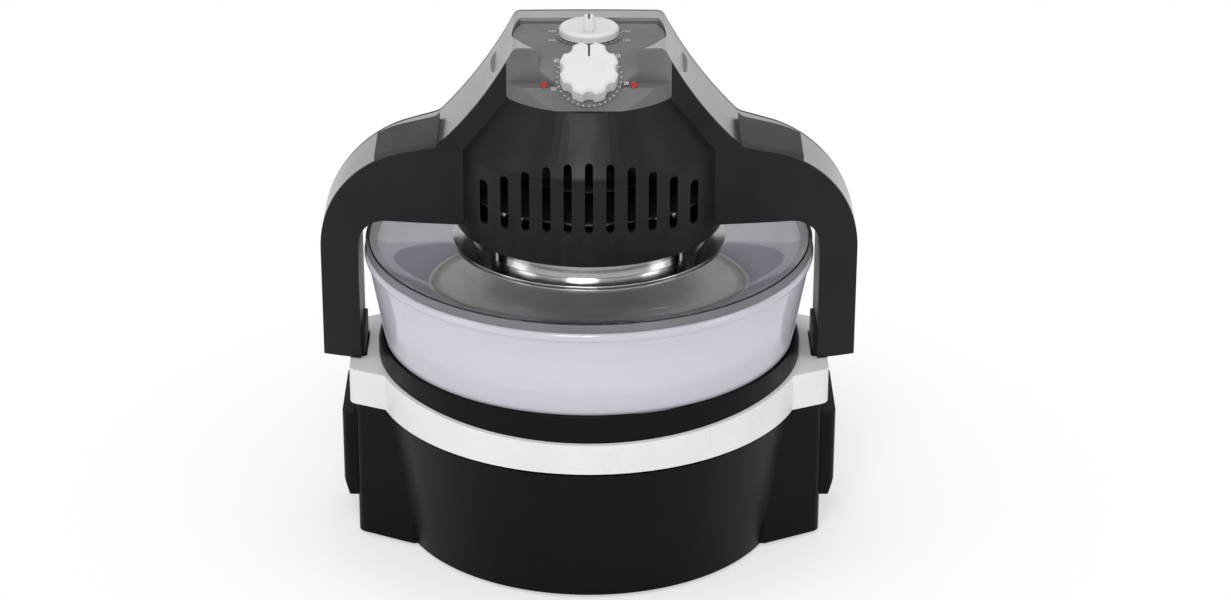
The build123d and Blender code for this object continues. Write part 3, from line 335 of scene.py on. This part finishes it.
knobSilver = mouldedPlastic(
    "knobSilver", (0.66, 0.66, 0.66), (0.72, 0.72, 0.72),
    roughness=0.30, grain=1200, grainDepth=0.00002, specular=0.5,
)
inkWhite = mouldedPlastic(
    "inkWhite", (0.62, 0.62, 0.62), (0.72, 0.72, 0.72),
    roughness=0.5, grain=1500, grainDepth=0.00001,
)
trimSilver = brightMetal(
    "trimSilver", (0.62, 0.62, 0.63), (0.74, 0.74, 0.75), roughness=0.34, streak=(1, 1, 1), scale=1500,
)
bandSilver = mouldedPlastic(
    "bandSilver", (0.78, 0.78, 0.785), (0.84, 0.84, 0.845),
    roughness=0.30, grain=1300, grainDepth=0.00001, specular=0.7,
)
polishedSteel = brightMetal(
    "polishedSteel", (0.72, 0.72, 0.71), (0.85, 0.85, 0.84), roughness=0.16, streak=(1, 1, 10), scale=200,
)
plainSteel = brightMetal(
    "plainSteel", (0.48, 0.48, 0.48), (0.60, 0.60, 0.60), roughness=0.30, streak=(6, 1, 1), scale=300,
)
# painted shade: steel made near black so that the head's inside, seen through the slots, reads as shaded rather than
# lit
paintedShadeSteel = brightMetal(
    "paintedShadeSteel", (0.05, 0.05, 0.05), (0.08, 0.08, 0.08), roughness=0.55, streak=(3, 1, 1), scale=300,
)
wireMetal = brightMetal(
    "wireMetal", (0.42, 0.38, 0.33), (0.52, 0.47, 0.40), roughness=0.35, streak=(1, 1, 1), scale=900,
)
markGrey = mouldedPlastic(
    "markGrey", (0.03, 0.03, 0.03), (0.045, 0.045, 0.045),
    roughness=0.5, grain=1500, grainDepth=0.00001, specular=0.3,
)
trayGrey = mouldedPlastic(
    "trayGrey", (0.50, 0.50, 0.46), (0.58, 0.58, 0.53),
    roughness=0.5, grain=1100, grainDepth=0.00006, specular=0.4,
)
sinteredBronze = brightMetal(
    "sinteredBronze", (0.52, 0.36, 0.18), (0.64, 0.46, 0.24), roughness=0.42, streak=(1, 1, 1), scale=1500,
)
ceramicWhite = mouldedPlastic(
    "ceramicWhite", (0.72, 0.70, 0.65), (0.82, 0.80, 0.76),
    roughness=0.7, grain=1600, grainDepth=0.00006,
)
switchGrey = mouldedPlastic(
    "switchGrey", (0.10, 0.10, 0.10), (0.14, 0.14, 0.14),
    roughness=0.55, grain=1200, grainDepth=0.00003,
)
lampRed = mouldedPlastic(
    "lampRed", (0.30, 0.02, 0.015), (0.42, 0.03, 0.02),
    roughness=0.15, grain=600, grainDepth=0.00001, specular=0.6,
)
bowlGlass = bowlGlassMaterial("bowlGlass", milk=(0.78, 0.78, 0.86), clear=(0.83, 0.83, 0.91))
lidGlass = clearGlassMaterial("lidGlass", (0.95, 0.96, 0.97))
quartz = clearGlassMaterial("quartz", (0.97, 0.97, 0.97))
print("materials made")


bowl = {
    "rimRadius": 159.5, "top": 216.0, "bottom": 60.0, "lean": 10.0, "wall": 5.0, "corner": 32.0, "cornerSteps": 14,
    "bead": 4.0, "neck": 3.0, "beadFrom": -35, "beadTo": 215, "beadSteps": 22, "segments": 224,
}


def bowlWall(height):
    # outside radius of the leaning wall at a height: the rim's, less the drop from the bead times tan of the lean
    return bowl["rimRadius"] - (bowl["top"] - bowl["bead"] - height) * math.tan(math.radians(bowl["lean"]))


def bowlProfile(size):
    # outer wall up, once round the bead, inner wall down; both ends on the axis
    low, top, wall = size["bottom"], size["top"] - size["bead"], size["wall"]
    neck, inside = top - size["neck"], low + wall
    outer = [(0, low), (bowlWall(low), low), (bowlWall(neck), neck)]
    inner = [(bowlWall(neck) - wall, neck), (bowlWall(inside) - wall, inside), (0, inside)]
    turn = np.linspace(math.radians(size["beadFrom"]), math.radians(size["beadTo"]), size["beadSteps"])
    middle = size["rimRadius"] - wall / 2
    bead = np.stack([middle + size["bead"] * np.cos(turn), top + size["bead"] * np.sin(turn)], axis=-1)
    return np.vstack([
        softCorners(outer, size["corner"], size["cornerSteps"], False), bead,
        softCorners(inner, size["corner"] - wall, size["cornerSteps"], False),
    ])


bowlMesh = turned("glassBowl", bowlProfile(bowl), bowl["segments"], False)
newPiece("glassBowl", bowlMesh, "base", bowlGlass, ("glass_bowl",))

# CAD nodes of the base, each with its finish and the width of its rounded edges
for node, material, edge in (
    ("bowl_liner", blackGloss, 0.8),
    ("base_tub", blackGloss, 1.2),
    ("band_ring", bandSilver, 1.2),
    ("bottom_cover", blackSatin, 0.5),
    ("rubber_feet", gripRubber, 0.4),
    ("side_handle_left", blackGloss, 1.2),
    ("side_handle_right", blackGloss, 1.2),
    ("hinge_ear_left", blackSatin, 0.8),
    ("hinge_ear_right", blackSatin, 0.8),
    ("hinge_pin", plainSteel, 0.3),
    ("base_screws", plainSteel, 0.3),
    ("wire_rack", plainSteel, 0),
):
    softened(node, material, edge)

tray = {
    "radius": 133.0, "low": 155.0, "rise": 7.0, "wall": 1.2, "corner": 3.0, "cornerSteps": 8,
    "bead": 1.6, "neck": 2.0, "beadFrom": -60, "beadTo": 200, "beadSteps": 14, "segments": 200,
}


def trayProfile(size):
    # floor outwards from the axis, a sloping side, a rolled rim, and back under itself
    low, wall, rim = size["low"], size["wall"], size["radius"] - size["bead"]
    foot, inside, top = size["radius"] - size["rise"] / 2, low + wall, low + size["rise"]
    under = [(0, low), (foot, low), (rim, top - size["neck"])]
    over = [(rim - wall, top - size["neck"]), (foot - wall, inside), (0, inside)]
    turn = np.linspace(math.radians(size["beadFrom"]), math.radians(size["beadTo"]), size["beadSteps"])
    middle = top - size["bead"]
    bead = np.stack([rim + size["bead"] * np.cos(turn), middle + size["bead"] * np.sin(turn)], axis=-1)
    return np.vstack([
        softCorners(under, size["corner"], size["cornerSteps"], False), bead,
        softCorners(over, size["corner"], size["cornerSteps"], False),
    ])


trayMesh = turned("cookingTray", trayProfile(tray), tray["segments"], False)
newPiece("cookingTray", trayMesh, "base", trayGrey, ("cooking_tray",))
softened("lid_magnet", plainSteel, 0.3)
print("base dressed")

# CAD nodes of the hood and of what turns in it
for node, material, edge in (
    ("hinge_bushes", sinteredBronze, 0.2),
    ("hinge_arm", blackSatin, 1.2),
    ("hinge_arm_cover", blackSatin, 0.4),
    ("cord_gland", blackSatin, 0.4),
    ("head_shell", blackSatin, 0.5),
    ("head_floor", blackSatin, 0.4),
    ("console_housing", consoleGrey, 1.0),
    ("front_dial_plate", consoleGrey, 0.2),
    ("top_dial_plate", consoleGrey, 0.2),
    ("indicator_lamps", lampRed, 0.3),
    ("timer_body", switchGrey, 0.3),
    ("thermostat_body", switchGrey, 0.3),
    ("arch_frame", blackSatin, 1.0),
    ("arch_trim", trimSilver, 0.6),
    ("shoulder_grip_left", gripRubber, 0.8),
    ("shoulder_grip_right", gripRubber, 0.8),
    ("latch_tongue_left", blackSatin, 0.6),
    ("latch_tongue_right", blackSatin, 0.6),
    ("reed_switch", switchGrey, 0.2),
    ("lid_posts", blackSatin, 0.4),
    ("heater_guard", plainSteel, 0.2),
    ("halogen_tube", quartz, 0),
    ("tube_holders", ceramicWhite, 0.3),
    # the heat shield, motor body and motor bracket take the near-black steel of painted shade
    ("heat_shield", paintedShadeSteel, 0.2),
    ("heat_sensor", plainSteel, 0.2),
    ("motor_body", paintedShadeSteel, 0.4),
    ("motor_bushes", sinteredBronze, 0.2),
    ("motor_bracket", paintedShadeSteel, 0.2),
    ("convection_fan", plainSteel, 0.2),
    ("cooling_fan", switchGrey, 0.2),
    ("fan_shaft", plainSteel, 0.2),
    ("motor_rotor", plainSteel, 0.2),
    ("timer_knob", knobSilver, 0.5),
    ("timer_shaft", plainSteel, 0.2),
    ("thermostat_knob", knobSilver, 0.5),
    ("thermostat_shaft", plainSteel, 0.2),
):
    softened(node, material, edge)

cheek = {"half": 57.0, "low": 341.0, "rear": 20.0, "touch": 1e-7}


def greyCheeks(piece, size):
    # cuts the piece along the planes round the console; its faces between them take its second finish
    form = bmesh.new()
    form.from_mesh(piece.data)
    cuts = (
        ((size["half"], 0, 0), (1, 0, 0)),
        ((-size["half"], 0, 0), (1, 0, 0)),
        ((0, 0, size["low"]), (0, 0, 1)),
    )
    for place, normal in cuts:
        everything = form.verts[:] + form.edges[:] + form.faces[:]
        plane = np.array(place) * millimetre
        bmesh.ops.bisect_plane(form, geom=everything, plane_co=plane, plane_no=normal, dist=size["touch"])
    for face in form.faces:
        middle = face.calc_center_median() / millimetre
        inside = abs(middle.x) < size["half"] and middle.z > size["low"] and middle.y < size["rear"]
        face.material_index = 1 if inside else 0
    form.to_mesh(piece.data)
    form.free()


archFrame = bpy.data.objects["archFrame"]
archFrame.data.materials.append(consoleGrey)
greyCheeks(archFrame, cheek)

lid = {"radius": 158.0, "hole": 88.0, "low": 217.7, "thick": 4.0, "edge": 1.4, "edgeSteps": 6, "segments": 240}
lidLow, lidHigh = lid["low"], lid["low"] + lid["thick"]
lidOutline = [
    (lid["hole"], lidLow), (lid["radius"], lidLow), (lid["radius"], lidHigh), (lid["hole"], lidHigh),
]
lidMesh = turned("glassLid", softCorners(lidOutline, lid["edge"], lid["edgeSteps"]), lid["segments"])
newPiece("glassLid", lidMesh, "hood", lidGlass, ("glass_lid",))

seal = {"inside": 151.0, "outside": 160.0, "low": 216.5, "gap": 0.02, "edge": 0.5, "edgeSteps": 5, "segments": 240}
sealOutline = [
    (seal["inside"], seal["low"]), (seal["outside"], seal["low"]), (seal["outside"], lidHigh),
    (lid["radius"] + seal["gap"], lidHigh), (lid["radius"] + seal["gap"], lidLow - seal["gap"]),
    (seal["inside"], lidLow - seal["gap"]),
]
sealMesh = turned("lidSeal", softCorners(sealOutline, seal["edge"], seal["edgeSteps"]), seal["segments"])
newPiece("lidSeal", sealMesh, "hood", sealRubber, ("lid_seal",))

ring = {
    "inside": 82.8, "outside": 84.0, "flange": 98.0, "hole": 5.0, "ceiling": 262.0, "wall": 1.2,
    "edge": 0.5, "edgeSteps": 5, "segments": 200,
}
ringOutline = [
    (ring["hole"], ring["ceiling"]), (ring["hole"], ring["ceiling"] + ring["wall"]),
    (ring["outside"], ring["ceiling"] + ring["wall"]), (ring["outside"], lidHigh + ring["wall"]),
    (ring["flange"], lidHigh + ring["wall"]), (ring["flange"], lidHigh),
    (ring["inside"], lidHigh), (ring["inside"], ring["ceiling"]),
]
ringMesh = turned("heaterRing", softCorners(ringOutline, ring["edge"], ring["edgeSteps"]), ring["segments"])
newPiece("heaterRing", ringMesh, "hood", polishedSteel, ("heater_ring",))

clamp = {"edge": 0.4, "edgeSteps": 4, "segments": 200}
clampOutline = [
    (ring["outside"], seal["low"]), (ring["flange"], seal["low"]), (ring["flange"], lidLow), (ring["outside"], lidLow),
]
clampMesh = turned("clampRing", softCorners(clampOutline, clamp["edge"], clamp["edgeSteps"]), clamp["segments"])
newPiece("clampRing", clampMesh, "hood", polishedSteel, ("clamp_ring",))

filament = {
    "ring": 58.0, "height": 234.0, "coil": 1.5, "wire": 0.35, "sides": 6,
    "turns": 110, "stepsInTurn": 10, "from": 104.0, "sweep": 332.0,
}


def filamentPath(size):
    # helix round the tube's own circle: angle v along the circle, angle w = turns times 2 pi round it
    share = np.linspace(0, 1, size["turns"] * size["stepsInTurn"])
    v = np.radians(size["from"] + share * size["sweep"])
    w = share * size["turns"] * 2 * math.pi
    outwards = np.stack([np.cos(v), np.sin(v), 0 * v], axis=-1)
    upwards = np.array([0.0, 0.0, 1.0])
    normals = np.cos(w)[:, None] * outwards + np.sin(w)[:, None] * upwards
    middle = size["ring"] * outwards + np.array([0, 0, size["height"]])
    return middle + size["coil"] * normals, normals


filamentMesh = carried("filament", *filamentPath(filament), ringSection(filament["wire"], filament["sides"]))
newPiece("filament", filamentMesh, "hood", wireMetal)

# Each dial has a frame: middle, sideways, upwards and outwards, on the face that the knob turns over
timerDial = {
    "middle": (0, -46.0, 357.5), "up": (0, 0.740976, 0.671532), "out": (0, -0.671532, 0.740976), "face": 0.8,
    "ticks": (21.3, 23.1), "step": 10.0, "last": 300.0,
    "scale": (("10", 50), ("20", 100), ("50", 250), ("60", 300)),
    "labelRing": 25.9, "labelSize": 3.8, "knobFace": 15.4, "mark": (8.5, 17.5), "body": "timer_dial",
}
heatDial = {
    "middle": (0, -2.0, 372.0), "up": (0, 1.0, 0), "out": (0, 0, 1.0), "face": 0.8,
    "ticks": (21.4, 22.7), "step": 13.5, "last": 270.0,
    "scale": (("100", 70), ("150", 110), ("200", 250), ("250", 290)),
    "labelRing": 27.5, "labelSize": 3.8, "knobFace": 10.4, "mark": (6.0, 16.0), "body": "thermostat_dial",
}
marks = {"tickWidth": 0.45, "tickSunk": 0.05, "pointerWidth": 1.4, "pointerSunk": 0.3, "proud": 0.08}
letters = {"thick": 0.05, "lift": 0.03}


def onDial(points, dial):
    # dial point (u, v, w) goes to middle + u side + v up + w out
    frameAxes = np.array([(1.0, 0, 0), dial["up"], dial["out"]])
    return np.asarray(dial["middle"], float) + points @ frameAxes


def slabs(centres, turns, length, width, low, high):
    # flat bars: corner (i, j, k) goes to its bar's centre + i length/2 along the bar's turn
    # + j width/2 across it, at the low or the high level
    c, t = np.asarray(centres, float), np.radians(np.asarray(turns, float))
    i, j, k = [g.ravel() for g in np.meshgrid([-1, 1], [-1, 1], [low, high], indexing="ij")]
    u = c[:, :1] + i * length / 2 * np.cos(t)[:, None] - j * width / 2 * np.sin(t)[:, None]
    v = c[:, 1:] + i * length / 2 * np.sin(t)[:, None] + j * width / 2 * np.cos(t)[:, None]
    points = np.stack([u, v, 0 * u + k], axis=-1).reshape(-1, 3)
    corners = np.array([[0, 1, 3, 2], [4, 6, 7, 5], [0, 4, 5, 1], [2, 3, 7, 6], [0, 2, 6, 4], [1, 5, 7, 3]])
    faces = (corners[None] + 8 * np.arange(len(c))[:, None, None]).reshape(-1, 4)
    return points, faces


def tickMarks(name, dial):
    # bars square to the ring, every step of the scale from its first mark clockwise to its last
    turns = 90 - np.arange(0, dial["last"] + 1, dial["step"])
    radius, length = sum(dial["ticks"]) / 2, dial["ticks"][1] - dial["ticks"][0]
    centres = radius * np.stack([np.cos(np.radians(turns)), np.sin(np.radians(turns))], axis=-1)
    low, high = dial["face"] - marks["tickSunk"], dial["face"] + marks["proud"]
    points, faces = slabs(centres, turns, length, marks["tickWidth"], low, high)
    newPiece(name, meshFrom(name, onDial(points, dial), faces), "hood", inkWhite)


def dialNumbers(name, dial):
    # plain numbers made flat meshes, each set upright at its angle, just proud of the face
    placed, faces, count = [], [], 0
    for words, angle in dial["scale"]:
        curve = bpy.data.curves.new(name, "FONT")
        curve.body = words
        curve.size = dial["labelSize"]
        curve.align_x, curve.align_y = "CENTER", "CENTER"
        curve.extrude = letters["thick"]
        text = bpy.data.objects.new(name, curve)
        flat = bpy.data.meshes.new_from_object(text)
        points = np.empty(len(flat.vertices) * 3)
        flat.vertices.foreach_get("co", points)
        turn = math.radians(90 - angle)
        across, upwards = dial["labelRing"] * math.cos(turn), dial["labelRing"] * math.sin(turn)
        placed.append(points.reshape(-1, 3) + np.array([across, upwards, letters["lift"]]))
        faces += [[vertex + count for vertex in polygon.vertices] for polygon in flat.polygons]
        count += len(flat.vertices)
        bpy.data.objects.remove(text)
        bpy.data.meshes.remove(flat)
        bpy.data.curves.remove(curve)
    mesh = bpy.data.meshes.new(name)
    mesh.from_pydata(((onDial(np.vstack(placed), dial) + bowlAxis) * millimetre).tolist(), [], faces)
    newPiece(name, mesh, "hood", inkWhite)


def knobPointer(name, dial):
    # one bar along the dial's upward line, let into the knob's face
    start, end = dial["mark"]
    low, high = dial["knobFace"] - marks["pointerSunk"], dial["knobFace"] + marks["proud"]
    points, faces = slabs([(0, (start + end) / 2)], [90], end - start, marks["pointerWidth"], low, high)
    newPiece(name, meshFrom(name, onDial(points, dial), faces), dial["body"], markGrey)


for dialName, dial in (("timer", timerDial), ("heat", heatDial)):
    tickMarks(dialName + "Ticks", dial)
    dialNumbers(dialName + "Numbers", dial)
    knobPointer(dialName + "Pointer", dial)
print("hood dressed")


# Each lamp has its name, place, aim, width and height, and power in watts
studio = {
    "cameraAt": (0.0, -2.2, 1.17), "lookAt": (0.0, 0.0, 0.1684),
    "focal": 97.68, "sensor": 36, "aside": 26.5 / 1231, "clip": (0.1, 50),
    "world": 0.50, "white": 1.0,
    "floorTone": 0.93, "floorHalf": 9.0, "floorLevel": -0.0002,
    "fadeFrom": 0.16, "fadeTo": 0.42, "fadeLeast": 0.55,
    "lamps": (
        ("keyLight", (-0.25, -1.9, 2.1), (0, 0, 0.15), (0.9, 0.9), 28.0),
        ("fillLeft", (-2.1, -0.9, 1.3), (0, 0, 0.15), (0.7, 1.4), 6.0),
        ("fillRight", (2.1, -0.9, 1.3), (0, 0, 0.15), (0.7, 1.4), 6.0),
        ("topLight", (0.1, 0.5, 2.2), (0, 0, 0.2), (1.4, 1.4), 10.0),
    ),
}


def whiteShine(tree, kind, strength):
    # a white background or emission of the given strength
    shine = tree.nodes.new(kind)
    shine.inputs["Color"].default_value = (1, 1, 1, 1)
    shine.inputs["Strength"].default_value = strength
    return shine


def seenRays(tree):
    # 1 for camera rays and for rays that have come through glass, 0 for all others
    path = tree.nodes.new("ShaderNodeLightPath")
    either = tree.nodes.new("ShaderNodeMath")
    either.operation = "MAXIMUM"
    tree.links.new(path.outputs["Is Camera Ray"], either.inputs[0])
    tree.links.new(path.outputs["Is Transmission Ray"], either.inputs[1])
    return either.outputs[0]


def whiteWorld(strength):
    # white all round: camera rays and rays through glass see it at full white, the object is lit by less
    world = bpy.data.worlds.new("studioWhite")
    bpy.context.scene.world = world
    world.use_nodes = True
    tree = world.node_tree
    tree.nodes.clear()
    out = tree.nodes.new("ShaderNodeOutputWorld")
    lit = whiteShine(tree, "ShaderNodeBackground", strength)
    seen = whiteShine(tree, "ShaderNodeBackground", studio["white"])
    mixedShaders(tree, seenRays(tree), lit, seen, out)


def paleFloor(tone):
    # a wide matt floor that turns to the backdrop's white away from the object, for the rays that see it:
    # the white's share rises smoothly with the distance from the origin, from its least to 1
    half, level = studio["floorHalf"], studio["floorLevel"]
    corners = [(-half, -half, level), (half, -half, level), (half, half, level), (-half, half, level)]
    mesh = bpy.data.meshes.new("studioFloor")
    mesh.from_pydata(corners, [], [(0, 1, 2, 3)])
    floor = bpy.data.objects.new("studioFloor", mesh)
    bpy.context.scene.collection.objects.link(floor)
    material = bpy.data.materials.new("studioPaper")
    material.use_nodes = True
    tree = material.node_tree
    tree.nodes.clear()
    out = tree.nodes.new("ShaderNodeOutputMaterial")
    paper = tree.nodes.new("ShaderNodeBsdfDiffuse")
    paper.inputs["Color"].default_value = (tone, tone, tone, 1)
    glow = whiteShine(tree, "ShaderNodeEmission", studio["white"])
    coordinates = tree.nodes.new("ShaderNodeTexCoord")
    distance = tree.nodes.new("ShaderNodeVectorMath")
    distance.operation = "LENGTH"
    tree.links.new(coordinates.outputs["Object"], distance.inputs[0])
    fade = tree.nodes.new("ShaderNodeMapRange")
    fade.interpolation_type = "SMOOTHSTEP"
    fade.inputs["From Min"].default_value = studio["fadeFrom"]
    fade.inputs["From Max"].default_value = studio["fadeTo"]
    fade.inputs["To Min"].default_value = studio["fadeLeast"]
    tree.links.new(distance.outputs["Value"], fade.inputs["Value"])
    share = tree.nodes.new("ShaderNodeMath")
    share.operation = "MULTIPLY"
    tree.links.new(fade.outputs["Result"], share.inputs[0])
    tree.links.new(seenRays(tree), share.inputs[1])
    mixedShaders(tree, share.outputs[0], paper, glow, out)
    mesh.materials.append(material)


def softLight(name, place, aim, size, power):
    # a flat rectangular lamp at a place, turned to face its aim
    light = bpy.data.lights.new(name, "AREA")
    light.shape = "RECTANGLE"
    light.size, light.size_y = size
    light.energy = power
    lamp = bpy.data.objects.new(name, light)
    bpy.context.scene.collection.objects.link(lamp)
    lamp.location = place
    lamp.rotation_euler = (Vector(aim) - Vector(place)).to_track_quat("-Z", "Y").to_euler()


whiteWorld(studio["world"])
paleFloor(studio["floorTone"])
for lampSettings in studio["lamps"]:
    softLight(*lampSettings)

scene = bpy.context.scene
scene.view_settings.view_transform = "Standard"
camera = bpy.data.objects.new("camera", bpy.data.cameras.new("camera"))
scene.collection.objects.link(camera)
shift = Vector((0, bowlAxis[1] * millimetre, 0))
camera.location = Vector(studio["cameraAt"]) + shift
towards = Vector(studio["lookAt"]) + shift - camera.location
camera.rotation_euler = towards.to_track_quat("-Z", "Y").to_euler()
camera.data.lens = studio["focal"]
camera.data.sensor_width = studio["sensor"]
camera.data.shift_x = studio["aside"]
camera.data.clip_start, camera.data.clip_end = studio["clip"]
scene.camera = camera
print("studio set")
